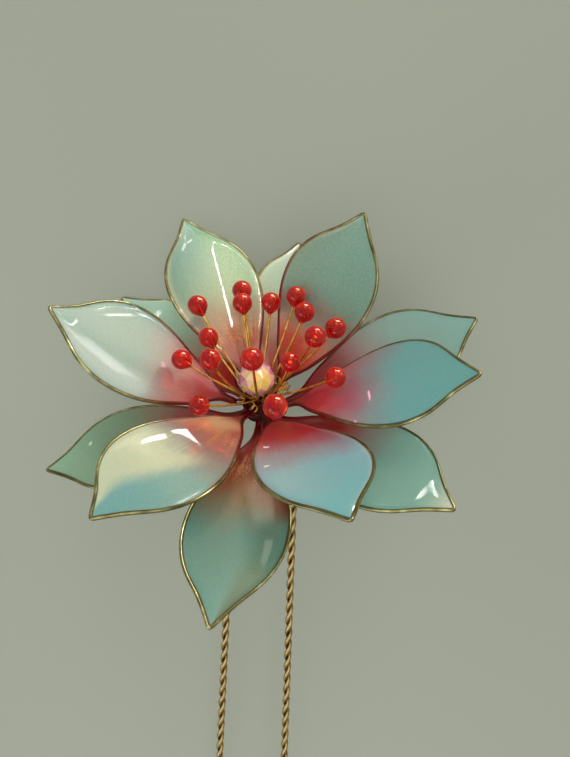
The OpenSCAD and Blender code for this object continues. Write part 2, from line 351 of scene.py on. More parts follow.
def wound(line, pitch):
    """Route of a thread wound round a line of (place, width) at even steps."""
    length = sum((b[0] - a[0]).length for a, b in zip(line, line[1:]))
    count = round(length / pitch * thread_points_per_turn)
    route = []
    for i in range(count + 1):
        place, width, way = blend_places(line, i / count)
        # Its angle is measured from X, or from Y where the line itself runs along X
        across = Vector((1, 0, 0)) if abs(way.x) < 0.7 else Vector((0, 1, 0))
        side = (across - across.dot(way) * way).normalized()
        angle = 2 * math.pi * i / thread_points_per_turn
        out = math.cos(angle) * side + math.sin(angle) * way.cross(side)
        route.append((place + (width - thread_d) / 2 * out, 1))
    return route


def smoothed(line, rounds):
    """The same line of (place, width) with its corners rounded."""
    for _ in range(rounds):
        middle = [
            ((a[0] + 2 * b[0] + c[0]) / 4, (a[1] + 2 * b[1] + c[1]) / 4)
            for a, b, c in zip(line, line[1:], line[2:])
        ]
        line = [line[0], *middle, line[-1]]
    return line


# Heights on the flower's axis, from the knob's top down, and how wide the stem is there
on_axis = [
    (0.3, 3.6), (-0.4, hub_d), (-1.6, hub_d), (-2.3, 3.2), (-3.2, 2.1),
    (-stem_axis_length, stem_d),
]
corners = [(flower_to_worn @ Vector((0, 0, z)), width) for z, width in on_axis]
foot = Vector((corners[-1][0].x, corners[-1][0].y, foot_height))
corners.append((foot, stem_d))
stem_places = [blend_places(corners, i / stem_steps)[:2] for i in range(stem_steps + 1)]
stem_line = smoothed(stem_places, rounds=4)
bend_line = [
    (bend_frame(90 + wrap_angle - 2 * wrap_angle * i / wrap_steps)[0],
     wrap_d - wrap_taper * abs(2 * i / wrap_steps - 1) ** 4)
    for i in range(wrap_steps + 1)
]
cores = [
    [(place, width - thread_d) for place, width in stem_line],
    [(place, width - thread_d) for place, width in bend_line],
]
# Turns that cross over the joint of stem and fork, two leaned to each side
cross_half_w = 1.9
cross_half_d = 1.62
cross_steps = 20
cross_tilts = (-50, -38, 38, 50)
# They lie off the middle, by their tilt, and a little below the bend's top
cross_shift = 0.02
cross_drop = 0.1
cross_turns = []
for tilt in cross_tilts:
    loop = []
    for i in range(cross_steps + 1):
        angle = 2 * math.pi * i / cross_steps
        ring = Vector((cross_half_w * math.cos(angle), cross_half_d * math.sin(angle), 0))
        middle = Vector((cross_shift * tilt, 0, -cross_drop))
        loop.append((turned(tilt, "Y") @ ring + middle, 1))
    cross_turns.append(loop)

thread = Finish(
    "binding_thread", roughness=0.5, specular_ior_level=0.1, coat_weight=0.15, coat_roughness=0.06
)
fray = thread.noise(scale=1400, detail=3)
thread.link(thread.ramp(fray, [
    (0.30, paint(28, 4, 4)),
    (0.60, paint(80, 12, 10)),
    (0.85, paint(134, 44, 24)),
]), thread.shader.inputs["Base Color"])
thread.relief(thread.noise(scale=9000, detail=2), depth=0.00003)

stem_mesh = wire_mesh(cores, 1, core_sides)
add_piece("stem_core", stem_mesh, worn_to_rest, thread.material, "binding")
turns = [wound(stem_line, stem_thread_pitch), wound(bend_line, wrap_thread_pitch), *cross_turns]
winding_mesh = wire_mesh(turns, thread_d, thread_sides)
add_piece("stem_winding", winding_mesh, worn_to_rest, thread.material, "binding", "stem_binding")


# Petal wires. Each petal is one loop of 0.5 mm brass wire, pinched to a point at the tip,
# with both ends bent down into the knob. The dip has stained the ends crimson.
wire_d = 0.5
wire_sides = 8
loop_steps = 56
# The loop's points crowd towards the tip, by this power, and its corners are rounded
loop_power = 1.25
# Each end of a petal's wire bends down into the knob: how far out, and how high
wire_end = [(hub_d / 2 + 0.1, 0.0), (1.55, -0.3), (1.3, -0.8), (1.1, -1.6)]
# The way each petal points round the flower, its slopes at root and tip, its roll at the
# root and its twist from there to the tip, in degrees, then how far it sweeps sideways and
# cups, its length and width, and how far its root is from the flower's axis
Petal = namedtuple("Petal", "around rise tip_rise roll twist sweep cup length width root")
inner_petals = [
    Petal(112, 32, 35, 6, -12, 2.5, -0.2, 34.5, 16.0, 2.5),
    Petal(41, 46, 59, 4, 12, -0.5, 1.1, 33.0, 16.5, 3.0),
    Petal(-15, 38, 18, -7, 16, -1.5, -0.4, 33.0, 17.0, 4.5),
    Petal(297, 26, 22, -11, 4, -2.0, 0.7, 33.5, 16.0, 3.5),
    Petal(240, 27, 13, -6, 0, -0.5, 0.6, 33.5, 16.0, 3.0),
    Petal(181, 34, 51, -12, 6, 1.0, 1.3, 33.0, 16.5, 4.0),
]
outer_petals = [
    Petal(74, 17, 19, 3, 8, 3.5, 0.4, 34.0, 15.0, 3.5),
    Petal(17, 14, 21, 6, 4, -1.5, 0.2, 35.5, 17.0, 4.0),
    Petal(320, 16, 1, -7, 4, 0.0, 0.4, 34.5, 17.0, 2.5),
    Petal(269, 9, -1, 0, -20, -3.0, 0.6, 34.5, 14.5, 4.0),
    Petal(198, -7, 7, -4, 10, 1.5, 0.8, 33.5, 17.0, 2.5),
    Petal(141, 13, 14, 1, 2, 0.0, 0.5, 33.5, 16.5, 3.0),
]
# Half width at even steps from root to tip, as a share of the widest
petal_outline = [0.05, 0.10, 0.40, 0.61, 0.81, 0.95, 1, 0.95, 0.74, 0.33, 0]


def smooth_at(values, share):
    """Value at a share of the way along a list, on a smooth curve through its values."""
    last = len(values) - 1
    place = min(max(share, 0), 1) * last
    i = min(int(place), last - 1)
    f = place - i
    here, after = values[i], values[i + 1]
    before = values[i - 1] if i > 0 else 2 * here - after
    beyond = values[i + 2] if i < last - 1 else 2 * after - here
    return here + f / 2 * (
        after - before
        + f * (2 * before - 5 * here + 4 * after - beyond
               + f * (3 * (here - after) + beyond - before))
    )


def half_width(petal, along):
    """Half a petal's width at a share of the way from root to tip."""
    return max(smooth_at(petal_outline, along), 0) * petal.width / 2


def petal_place(petal, root_z, along, side, above=0.0):
    """Place on a petal, along from root (0) to tip (1) and side in millimetres."""
    mean_slope = math.radians(petal.rise + (petal.tip_rise - petal.rise) * along / 2)
    slope = math.radians(petal.rise + (petal.tip_rise - petal.rise) * along)
    roll = math.radians(petal.roll + petal.twist * along)
    lift = petal.cup * (2 * side / petal.width) ** 2 + above
    sideways = side * math.cos(roll) - lift * math.sin(roll) + petal.sweep * along ** 2
    raised = side * math.sin(roll) + lift * math.cos(roll)
    run = petal.length * along
    return turned(petal.around, "Z") @ Vector((
        petal.root + run * math.cos(mean_slope) - math.sin(slope) * raised,
        sideways,
        root_z + run * math.sin(mean_slope) + math.cos(slope) * raised,
    ))


def petal_loop(petal, root_z):
    """Route of a petal's wire, out of the knob, round the petal and back."""
    shares = [1 - (1 - i / loop_steps) ** loop_power for i in range(loop_steps + 1)]
    out = [petal_place(petal, root_z, s, half_width(petal, s)) for s in shares]
    back = [petal_place(petal, root_z, s, -half_width(petal, s)) for s in shares[-2::-1]]
    loop = smoothed([(place, 1) for place in out + back], rounds=3)
    tails = []
    for side in (1, -1):
        half = side * half_width(petal, 0)
        tails.append([
            (turned(petal.around, "Z") @ Vector((out_by, half, root_z + height)), 1)
            for out_by, height in wire_end
        ])
    return [*reversed(tails[0]), *loop, *tails[1]]


# The crimson stain fades out between these distances from the flower's axis
stain_end = 20
stain_fade = 6
brass = Finish("petal_brass", specular_ior_level=0.25, coat_weight=0.15, coat_roughness=0.1)
stain = brass.attribute("stain")
tarnish = brass.noise(scale=420, detail=3)
clean = brass.ramp(tarnish, [
    (0.30, paint(104, 98, 58)),
    (0.55, paint(160, 152, 102)),
    (0.75, paint(226, 220, 172)),
])
brass.link(brass.mix(stain, clean, paint(124, 8, 10)), brass.shader.inputs["Base Color"])
brass.link(brass.math("SUBTRACT", 1.0, stain), brass.shader.inputs["Metallic"])
brass.link(brass.math("MULTIPLY_ADD", tarnish, 0.2, 0.14), brass.shader.inputs["Roughness"])
brass.relief(brass.noise(scale=4000, detail=2), depth=0.00001)

ring_of_petals = [("inner", inner_petals, inner_root_z), ("outer", outer_petals, outer_root_z)]
for ring, petals, root_z in ring_of_petals:
    for number, petal in enumerate(petals, 1):
        name = f"{ring}_petal_wire_{number}"
        mesh = wire_mesh([petal_loop(petal, root_z)], wire_d, wire_sides)
        stains = mesh.attributes.new("stain", "FLOAT", "POINT")
        stains.data.foreach_set("value", [
            min(max((stain_end - v.co.xy.length) / stain_fade, 0), 1) for v in mesh.vertices
        ])
        add_piece(f"{ring}_wire_{number}", mesh, flower_to_rest, brass.material, "petal_wire", name)


# Petal films. Each loop is dipped in pearly resin, crimson at the root and blue green at
# the tip, with gold dust in it. The resin is thicker where it climbs the wire.
film_t = 0.2
climb = 0.1
climb_reach = 0.5
film_end = 0.995
# The sheet's grid, whose rows crowd towards the tip, by this power
film_rows = 56
film_columns = 34
film_power = 1.2
# How far the streaks and clouds shift a petal's colours along it, and how far past the
# blush its own colour begins
streak_shift = 0.07
cloud_shift = 0.15
mean_shift = 0.11
body_begins = 0.14
# Where a petal's colours end on the way from root to tip, how much gold has gathered in
# the crimson and how much dust shows all over, and the colours from root to tip
Dip = namedtuple("Dip", "crimson blush gold dust root middle body tip")
inner_dips = [
    Dip(0.18, 0.36, 0.7, 0.32, (160, 60, 30), (150, 94, 60), (114, 178, 164), (154, 212, 208)),
    Dip(0.23, 0.33, 0.3, 0.4, (226, 62, 36), (216, 132, 114), (116, 171, 160), (134, 184, 174)),
    Dip(0.24, 0.44, 0.0, 0.2, (226, 32, 76), (192, 116, 140), (112, 196, 206), (100, 190, 192)),
    Dip(0.27, 0.42, 0.0, 0.2, (198, 4, 48), (188, 106, 134), (142, 228, 250), (142, 232, 244)),
    Dip(0.20, 0.41, 0.8, 0.32, (214, 98, 92), (188, 122, 118), (120, 200, 206), (128, 206, 214)),
    Dip(0.18, 0.35, 0.2, 0.28, (186, 36, 46), (196, 124, 126), (154, 206, 204), (162, 220, 222)),
]
outer_dips = [
    Dip(0.15, 0.42, 0.0, 0.4, (194, 66, 54), (172, 92, 88), (166, 214, 200), (200, 236, 232)),
    Dip(0.24, 0.42, 0.0, 0.2, (176, 62, 74), (192, 140, 148), (158, 204, 202), (138, 206, 204)),
    Dip(0.30, 0.42, 0.0, 0.12, (172, 8, 22), (182, 104, 104), (150, 207, 196), (140, 208, 202)),
    Dip(0.27, 0.42, 0.9, 0.2, (150, 10, 8), (156, 102, 68), (116, 182, 174), (124, 194, 188)),
    Dip(0.22, 0.40, 0.0, 0.2, (170, 24, 36), (160, 84, 84), (122, 168, 144), (170, 228, 206)),
    Dip(0.22, 0.38, 0.0, 0.3, (220, 40, 44), (196, 128, 110), (202, 244, 224), (188, 248, 236)),
]
# Where pearl dust, a painted sheen, a painted highlight, painted shade or a darker colour lies
# over a petal: from none to full by its share along and across, and only past a share of the way
# along, where it begins
Overlay = namedtuple("Overlay", "resin along across none full begins whole colour dust")
dust_and_painted_light = [
    # Painted golden sheen over the dust on one side of inner petal 1
    Overlay("inner_resin_1", 0, 1, 0.62, 0.30, 0.34, 0.50, (136, 208, 184), 0.8),
    # Painted shade on the other side of inner petal 1
    Overlay("inner_resin_1", 0, 1, 0.60, 0.95, 0.26, 0.40, (92, 158, 152), 0.0),
    # Darker towards one side of inner petal 2
    Overlay("inner_resin_2", 0, 1, 0.50, 0.95, 0.32, 0.44, (86, 148, 142), 0.0),
    Overlay("inner_resin_5", 1, 0.25, 0.42, 0.30, 0.08, 0.17, (255, 200, 154), 0.4),
    # Painted pearly sheen over the dust on inner petal 5
    Overlay("inner_resin_5", 0.7, 1, 1.02, 0.86, 0.36, 0.48, (234, 250, 222), 0.8),
    # Painted pale sheen over the dust on one side of inner petal 6
    Overlay("inner_resin_6", 0, 1, 0.54, 0.72, 0.33, 0.49, (216, 244, 244), 0.6),
    # Painted highlight at the tip of outer petal 3
    Overlay("outer_resin_3", 1, 0, 0.80, 0.98, 0.70, 0.80, (250, 255, 236), 0.3),
    # Painted shadow over one side of outer petal 4, deep red near the root and darker blue green
    # further out
    Overlay("outer_resin_4", 0, 1, 0.62, 0.86, 0.16, 0.26, (112, 48, 34), 0.0),
    Overlay("outer_resin_4", 0, 1, 0.52, 0.70, 0.40, 0.54, (90, 150, 138), 0.0),
]


def film_half(from_wire):
    """Half the film's thickness at a distance from the middle of the wire."""
    return film_t / 2 + climb * math.exp(-max(from_wire - wire_d / 2, 0) / climb_reach)


def film_mesh(petal, root_z):
    """A closed sheet of resin that fills a loop, with its own map of along and across."""
    sheet = bmesh.new()
    bmesh.ops.create_grid(sheet, x_segments=film_rows, y_segments=film_columns, size=1)
    flat = sheet.faces[:]
    raised = bmesh.ops.extrude_face_region(sheet, geom=flat, use_keep_orig=True)
    upper = [v for v in raised["geom"] if isinstance(v, bmesh.types.BMVert)]
    bmesh.ops.translate(sheet, verts=upper, vec=(0, 0, 1))
    uv = sheet.loops.layers.uv.new("petal")
    gaps = sheet.verts.layers.float.new("from_wire")
    for face in sheet.faces:
        for loop in face.loops:
            loop[uv].uv = (loop.vert.co.x / 2 + 0.5, loop.vert.co.y / 2 + 0.5)
    for vert in sheet.verts:
        along = film_end * (1 - (0.5 - vert.co.x / 2) ** film_power)
        half = half_width(petal, along)
        across = math.sin(vert.co.y * math.pi / 2)
        from_wire = half * (1 - abs(across))
        vert[gaps] = from_wire
        thick = film_half(from_wire)
        side = half * across
        vert.co = petal_place(petal, root_z, along, side, thick if vert.co.z > 0.5 else -thick)
    bmesh.ops.recalc_face_normals(sheet, faces=sheet.faces)
    mesh = bpy.data.meshes.new("film")
    sheet.to_mesh(mesh)
    sheet.free()
    return mesh


def resin_of(name, dip):
    """Pearly resin with its colours laid along a petal."""
    resin = Finish(
        name,
        roughness=0.32,
        ior=1.8,
        specular_ior_level=1.0,
        coat_weight=1.0,
        coat_roughness=0.015,
        coat_ior=1.35,
        subsurface_weight=0.35,
        subsurface_scale=0.0006,
    )
    place = resin.node("UVMap", uv_map="petal").outputs["UV"]
    parts = resin.node("SeparateXYZ")
    resin.link(place, parts.inputs["Vector"])
    streaks = resin.noise(scale=5, detail=3, coordinates=place, stretch=(0.5, 7, 1))
    clouds = resin.noise(scale=160, detail=2)
    streaks = resin.math("MULTIPLY", streaks, streak_shift)
    shift = resin.math("MULTIPLY_ADD", clouds, cloud_shift, streaks)
    along = resin.math("ADD", parts.outputs["X"], resin.math("SUBTRACT", shift, mean_shift))
    # The dust shines pink in the crimson and gold in the rest
    resin.link(resin.ramp(along, [
        (0.15, paint(246, 176, 176)),
        (0.50, paint(255, 214, 150)),
    ]), resin.shader.inputs["Specular Tint"])
    colour = resin.ramp(along, [
        (0.0, paint(146, 6, 26)),
        (dip.crimson, paint(*dip.root)),
        ((dip.crimson + dip.blush) / 2, paint(*dip.middle)),
        (dip.blush, paint(*[(a + b) / 2 + 6 for a, b in zip(dip.middle, dip.body)])),
        (dip.blush + body_begins, paint(*dip.body)),
        (1.0, paint(*dip.tip)),
    ])
    speckle = dip.dust
    # Overlays of dust, painted sheen, painted highlight and painted shade
    for overlay in [row for row in dust_and_painted_light if row.resin == name]:
        way = resin.math("MULTIPLY", parts.outputs["Y"], overlay.across)
        way = resin.math("MULTIPLY_ADD", along, overlay.along, way)
        begun = resin.step(along, overlay.begins, overlay.whole)
        share = resin.math("MULTIPLY", resin.step(way, overlay.none, overlay.full), begun)
        colour = resin.mix(share, colour, paint(*overlay.colour))
        speckle = resin.math("MAXIMUM", resin.math("MULTIPLY", share, overlay.dust), speckle)
    # Gold dust has gathered in streaks at the root
    stripes = resin.noise(scale=3, detail=2, coordinates=place, stretch=(1, 5, 1))
    specks = resin.math("MULTIPLY", resin.noise(scale=5200, detail=1), stripes)
    near_root = resin.ramp(along, [
        (0.14, paint(0, 0, 0)),
        (0.25, paint(255, 255, 255)),
        (0.45, paint(0, 0, 0)),
    ])
    gathered = resin.ramp(resin.math("MULTIPLY", specks, near_root), [
        (0.16, paint(0, 0, 0)),
        (0.34, (dip.gold, dip.gold, dip.gold, 1)),
    ])
    colour = resin.mix(gathered, colour, paint(244, 186, 120))
    grain = resin.math("SUBTRACT", resin.noise(scale=2800, detail=3), 0.5)
    grain = resin.math("MULTIPLY_ADD", grain, speckle, 0.5)
    dust = resin.ramp(grain, [
        (0.32, paint(140, 156, 156)),
        (0.50, paint(188, 188, 188)),
        (0.68, paint(242, 230, 182)),
    ])
    colour = resin.mix(1.0, colour, dust, "SOFT_LIGHT")
    # The line where the resin meets the wire is darkened: painted shade
    edge = resin.ramp(resin.attribute("from_wire"), [
        (0.28, paint(62, 74, 50)),
        (0.44, paint(255, 255, 255)),
    ])
    resin.link(resin.mix(1.0, colour, edge, "MULTIPLY"), resin.shader.inputs["Base Color"])
    # Slow waves run through the dust and the clear top alike, the grains through the dust alone
    wave = resin.bump(resin.noise(scale=110, detail=1), depth=0.0000015)
    resin.link(wave, resin.shader.inputs["Coat Normal"])
    grains = resin.bump(resin.noise(scale=6000, detail=1), depth=0.00001, over=wave)
    resin.link(grains, resin.shader.inputs["Normal"])
    return resin.material


for (ring, petals, root_z), dips in zip(ring_of_petals, (inner_dips, outer_dips)):
    for number, (petal, dip) in enumerate(zip(petals, dips), 1):
        name = f"{ring}_petal_film_{number}"
        finish = resin_of(f"{ring}_resin_{number}", dip)
        mesh = film_mesh(petal, root_z)
        add_piece(f"{ring}_film_{number}", mesh, flower_to_rest, finish, "petal_resin", name)


# Stamens. Fine gold wires fan out of the knob, each with its end dipped into a round
# drop of clear red resin that draws to a point along the wire.
stamen_wire_d = 0.4
stamen_root_lean = 43
stamen_gap = 0.15
stamen_steps = 24
# A drop's point lies this many radii below its middle
drop_point = 1.35
drop_rows = 16
drop_sides = 32
# Each wire starts at two shares of the way out through the knob
sunk_shares = (0.45, 0.75)
# The way each stamen points round the flower and leans from its axis, in degrees, how far
# its drop is from the flower's middle, how far its wire bows, and how wide its drop is
Stamen = namedtuple("Stamen", "around lean reach bow bead")
stamens = [
    Stamen(-1, 34, 17.5, 0.6, 3.3),
    Stamen(12, 44, 19.0, 0.6, 3.3),
    Stamen(38, 36, 17.5, 0.5, 3.3),
    Stamen(55, 38, 19.0, 0.5, 3.2),
    Stamen(76, 37, 17.0, 0.5, 3.3),
    Stamen(101, 48, 19.5, 0.6, 3.4),
    Stamen(103, 35, 17.0, 0.5, 3.3),
    Stamen(133, 49, 19.5, 0.7, 3.4),
    Stamen(146, 43, 14.0, 0.5, 3.3),
    Stamen(180, 48, 15.5, 0.6, 3.2),
    Stamen(204, 28, 14.5, 0.9, 3.3),
    Stamen(223, 55, 13.5, 0.4, 3.2),
    Stamen(277, 23, 18.0, 1.4, 3.4),
    Stamen(288, 46, 19.0, 0.6, 3.5),
    Stamen(339, 29, 13.0, 0.7, 3.1),
    Stamen(342, 54, 16.5, 0.5, 3.2),
]


def at_angles(distance, lean, around):
    """Place at a distance, leaned from the flower's axis and turned round it."""
    lean, around = math.radians(lean), math.radians(around)
    return distance * Vector((
        math.sin(lean) * math.cos(around), math.sin(lean) * math.sin(around), math.cos(lean)
    ))


def along_stamen(root, tip):
    """Matrix that puts +Z along the line from a stamen's root to its bead."""
    chord = tip - root
    return (
        Matrix.Translation(root)
        @ Matrix.Rotation(math.atan2(chord.y, chord.x), 4, "Z")
        @ Matrix.Rotation(math.acos(chord.z / chord.length), 4, "Y")
    )


def drop_mesh(radius):
    """A round drop with a point below its middle, spun from its outline."""
    touch = math.acos(1 / drop_point)
    ball = []
    for i in range(drop_rows + 1):
        angle = touch + (math.pi - touch) * i / drop_rows
        ball.append(radius * Vector((math.sin(angle), 0, -math.cos(angle))))
    ball[-1].x = 0
    point = Vector((0, 0, -drop_point * radius))
    outline = [point, point.lerp(ball[0], 0.5), *ball]
    drop = bmesh.new()
    verts = [bmesh.ops.create_vert(drop, co=place)["vert"][0] for place in outline]
    edges = [drop.edges.new(pair) for pair in zip(verts, verts[1:])]
    bmesh.ops.spin(
        drop, geom=verts + edges, cent=(0, 0, 0), axis=(0, 0, 1),
        angle=2 * math.pi, steps=drop_sides, use_merge=True,
    )
    bmesh.ops.remove_doubles(drop, verts=drop.verts, dist=0.001)
    bmesh.ops.recalc_face_normals(drop, faces=drop.faces)
    mesh = bpy.data.meshes.new("drop")
    drop.to_mesh(mesh)
    drop.free()
    return mesh


gold = Finish("stamen_gold", metallic=1.0)
gold.link(gold.ramp(gold.noise(scale=700, detail=3), [
    (0.30, paint(196, 136, 40)),
    (0.55, paint(236, 192, 92)),
    (0.80, paint(255, 232, 158)),
]), gold.shader.inputs["Base Color"])
wear = gold.noise(scale=900, detail=2)
gold.link(gold.math("MULTIPLY_ADD", wear, 0.2, 0.2), gold.shader.inputs["Roughness"])

red = Finish("bead_resin", roughness=0.02, ior=1.5, transmission_weight=0.7)
red.link(red.ramp(red.noise(scale=500, detail=2), [
    (0.35, paint(228, 14, 36)),
    (0.65, paint(255, 60, 30)),
]), red.shader.inputs["Base Color"])

hub_middle = Vector((0, 0, inner_root_z))
root_reach = hub_d / 2 + stamen_gap
for i, stamen in enumerate(stamens):
    root = hub_middle + at_angles(root_reach, stamen_root_lean, 360 * i / len(stamens))
    tip = at_angles(stamen.reach, stamen.lean, stamen.around)
    span = (tip - root).length
    bow_r = (span ** 2 / 4 + stamen.bow ** 2) / (2 * stamen.bow)
    half_angle = math.asin(span / 2 / bow_r)
    place = along_stamen(root, tip)
    arc = []
    for k in range(stamen_steps + 1):
        angle = half_angle * (2 * k / stamen_steps - 1)
        arc.append(place @ Vector((
            stamen.bow - bow_r + bow_r * math.cos(angle), 0, span / 2 + bow_r * math.sin(angle)
        )))
    tail = [hub_middle + (root - hub_middle) * share for share in sunk_shares]
    route = [(point, 1) for point in [*tail, *arc]]
    number = i + 1
    add_piece(
        f"stamen_stalk_{number}", wire_mesh([route], stamen_wire_d, wire_sides), flower_to_rest,
        gold.material, "stamen_wire", f"stamen_wire_{number}",
    )
    bead_place = place @ Matrix.Translation((0, 0, span)) @ Matrix.Rotation(-half_angle, 4, "Y")
    add_piece(
        f"stamen_drop_{number}", drop_mesh(stamen.bead / 2), flower_to_rest @ bead_place,
        red.material, "bead_resin", f"stamen_bead_{number}",
    )


# Crystal. A round glass bead cut in staggered rows of facets, with a rainbow coat, held
# over the knob on its own gold wire.
crystal_r = 3.0
crystal_rise = 5.8
crystal_sides = 10
# Width and height of each row of corners, as shares of the crystal's radius
crystal_rows = [(0.42, -0.9), (0.8, -0.6), (1, -0.15), (1, 0.15), (0.8, 0.6), (0.42, 0.9)]
# The rainbow coat turns gold towards one side, and a little by chance from facet to facet
coated_side = Vector((0.1, -0.9, 0.45)).normalized()
coat_by_side = 0.75
coat_by_chance = 0.35
# The wire goes from inside the knob up into the crystal
post_heights = (1.0, 2.0, crystal_rise - 0.88 * crystal_r)

stone = bmesh.new()
below = None
for number, (width, height) in enumerate(crystal_rows):
    made = bmesh.ops.create_circle(
        stone, cap_ends=False, segments=crystal_sides, radius=width * crystal_r
    )["verts"]
    stagger = number % 2 * 180 / crystal_sides
    bmesh.ops.rotate(stone, verts=made, matrix=turned(stagger, "Z").to_3x3())
    bmesh.ops.translate(stone, verts=made, vec=(0, 0, crystal_rise + height * crystal_r))
    edges = list(dict.fromkeys(edge for vert in made for edge in vert.link_edges))
    if below:
        bmesh.ops.bridge_loops(stone, edges=below + edges)
    else:
        bmesh.ops.contextual_create(stone, geom=edges)
    below = edges
bmesh.ops.contextual_create(stone, geom=below)
bmesh.ops.triangulate(stone, faces=[f for f in stone.faces if len(f.verts) == 4])
bmesh.ops.recalc_face_normals(stone, faces=stone.faces)
tints = stone.faces.layers.float.new("tint")
chance = random.Random(7)
for face in stone.faces:
    tint = coat_by_side * face.normal.dot(coated_side) + chance.uniform(0, coat_by_chance)
    face[tints] = min(max(tint, 0), 1)
crystal_mesh = bpy.data.meshes.new("crystal")
stone.to_mesh(crystal_mesh)
stone.free()

glass = Finish(
    "rainbow_crystal",
    roughness=0.06,
    ior=1.7,
    transmission_weight=0.2,
    coat_weight=1.0,
    coat_roughness=0.02,
)
glass.link(glass.ramp(glass.attribute("tint"), [
    (0.00, paint(164, 84, 124)),
    (0.34, paint(214, 134, 178)),
    (0.62, paint(246, 176, 186)),
    (0.74, paint(255, 216, 150)),
    (0.84, paint(255, 206, 66)),
    (1.00, paint(255, 160, 48)),
]), glass.shader.inputs["Base Color"])
add_piece(
    "faceted_crystal", crystal_mesh, flower_to_rest, glass.material, "crystal", "centre_crystal",
    smooth=False,
)

post_route = [(Vector((0, 0, height)), 1) for height in post_heights]
post_mesh = wire_mesh([post_route], stamen_wire_d, wire_sides)
add_piece(
    "crystal_post", post_mesh, flower_to_rest, gold.material, "stamen_wire", "crystal_pin"
)


# Wire curls. Spare ends of fine gold wire are curled small and left at the crystal's foot,
# most of them to one side of it.
curl_d = 0.25
curl_sides = 6
curl_steps = 24
curl_step_angle = 22
curl_step_rise = 0.05
# From least to most: how far a curl leans from the flower's axis, its radius, its tilt
curl_leans = (62, 74)
curl_radii = (0.45, 0.75)
curl_tilts = (30, 90)
# The way round the flower to each curl, and its distance from the flower's middle
curl_places = [
    (14, 4.7), (20, 4.1), (26, 5.2), (32, 4.6), (38, 3.8), (44, 5.2), (50, 4.5), (58, 4.0),
    (150, 3.6), (205, 3.2), (262, 3.4),
]

curls = []
for around, reach in curl_places:
    middle = at_angles(reach, chance.uniform(*curl_leans), around)
    radius = chance.uniform(*curl_radii)
    facing = turned(around, "Z") @ turned(chance.uniform(*curl_tilts), "X")
    curl = []
    for k in range(curl_steps + 1):
        angle = math.radians(curl_step_angle * k)
        ring = Vector((radius * math.cos(angle), radius * math.sin(angle), curl_step_rise * k))
        curl.append((middle + facing @ ring, 1))
    curls.append(curl)
curl_mesh = wire_mesh(curls, curl_d, curl_sides)
add_piece("wire_curls", curl_mesh, flower_to_rest, gold.material, "stamen_wire")


# Knob threads. The dipped crimson thread that ties the petal wires together goes round the
# knob in open rings at all angles, and makes a dark tangle there.
knob_thread_d = 0.42
knob_rings = 44
ring_steps = 24
ring_step_angle = 13
# From least to most: a ring's radius, its height, and how far it waves out of flat. Its
# tilt is spread about none
ring_radii = (1.7, 2.9)
ring_heights = (-1.3, 0.9)
ring_waves = (0, 0.3)
ring_tilt_spread = 32

rings = []
for _ in range(knob_rings):
    facing = turned(chance.uniform(0, 360), "Z") @ turned(chance.gauss(0, ring_tilt_spread), "X")
    radius = chance.uniform(*ring_radii)
    rise = Vector((0, 0, chance.uniform(*ring_heights)))
    wave = chance.uniform(*ring_waves)
    start = chance.uniform(0, 360)
    ring = []
    for k in range(ring_steps + 1):
        angle = math.radians(start + ring_step_angle * k)
        height = wave * math.sin(3 * angle)
        place = Vector((radius * math.cos(angle), radius * math.sin(angle), height))
        ring.append((facing @ place + rise, 1))
    rings.append(ring)
ring_mesh = wire_mesh(rings, knob_thread_d, thread_sides)
add_piece("knob_threads", ring_mesh, flower_to_rest, thread.material, "binding")


# Floor and light. The fork lies on a plain pale floor. Its light comes from a window beyond
# the flower to the right, from the sky straight beyond it, from the near left, from a wide
# ceiling and from an even pale room. Some pieces and the floor have lamps of their own.
floor_half_w = 3000
floor_sheet = bmesh.new()
bmesh.ops.create_grid(floor_sheet, x_segments=1, y_segments=1, size=floor_half_w * mm)
floor_mesh = bpy.data.meshes.new("floor")
floor_sheet.to_mesh(floor_mesh)
floor_sheet.free()
floor = bpy.data.objects.new("floor", floor_mesh)
bpy.context.scene.collection.objects.link(floor)
plaster = Finish("pale_floor", roughness=0.75)
plaster.link(plaster.ramp(plaster.noise(scale=3, detail=2), [
    (0.3, paint(136, 140, 128)),
    (0.7, paint(146, 150, 138)),
]), plaster.shader.inputs["Base Color"])
floor_mesh.materials.append(plaster.material)


def fade_edges(lamp, fade):
    """Lets a light die away over a share of the way from its edges to its middle."""
    lamp.use_nodes = True
    nodes = Nodes(lamp.node_tree)
    parts = nodes.node("SeparateXYZ")
    nodes.link(nodes.node("NewGeometry").outputs["Parametric"], parts.inputs["Vector"])
    strength = 1.0
    for axis in ("X", "Y"):
        off_middle = nodes.math("ABSOLUTE", nodes.math("SUBTRACT", parts.outputs[axis], 0.5))
        strength = nodes.math("MULTIPLY", nodes.step(off_middle, 0.5, 0.5 - 0.5 * fade), strength)
    nodes.link(strength, lamp.node_tree.nodes["Emission"].inputs["Strength"])


def hang_light(name, row, place, away, across, width, height, only, without=()):
    """A rectangular light, as bright as its row's radiance says, whatever its size."""
    lamp = bpy.data.lights.new(name, "AREA")
    lamp.shape = "RECTANGLE"
    lamp.size = width
    lamp.size_y = height
    lamp.energy = row.radiance * math.pi * width * height
    lamp.color = row.colour[:3]
    fade_edges(lamp, row.fade)
    across = across.normalized()
    away = (away - away.dot(across) * across).normalized()
    holder = bpy.data.objects.new(name, lamp)
    turn = Matrix((across, away.cross(across), away)).transposed().to_4x4()
    holder.matrix_world = Matrix.Translation(place) @ turn
    holder.visible_camera = False
    bpy.context.scene.collection.objects.link(holder)
    if only or without:
        shown = bpy.data.collections.new(name)
        for piece in [*only, *without]:
            shown.objects.link(bpy.data.objects[piece])
        holder.light_linking.receiver_collection = shown
        if only:
            holder.light_linking.blocker_collection = shown
        for linked in shown.collection_objects:
            linked.light_linking.link_state = "INCLUDE" if only else "EXCLUDE"


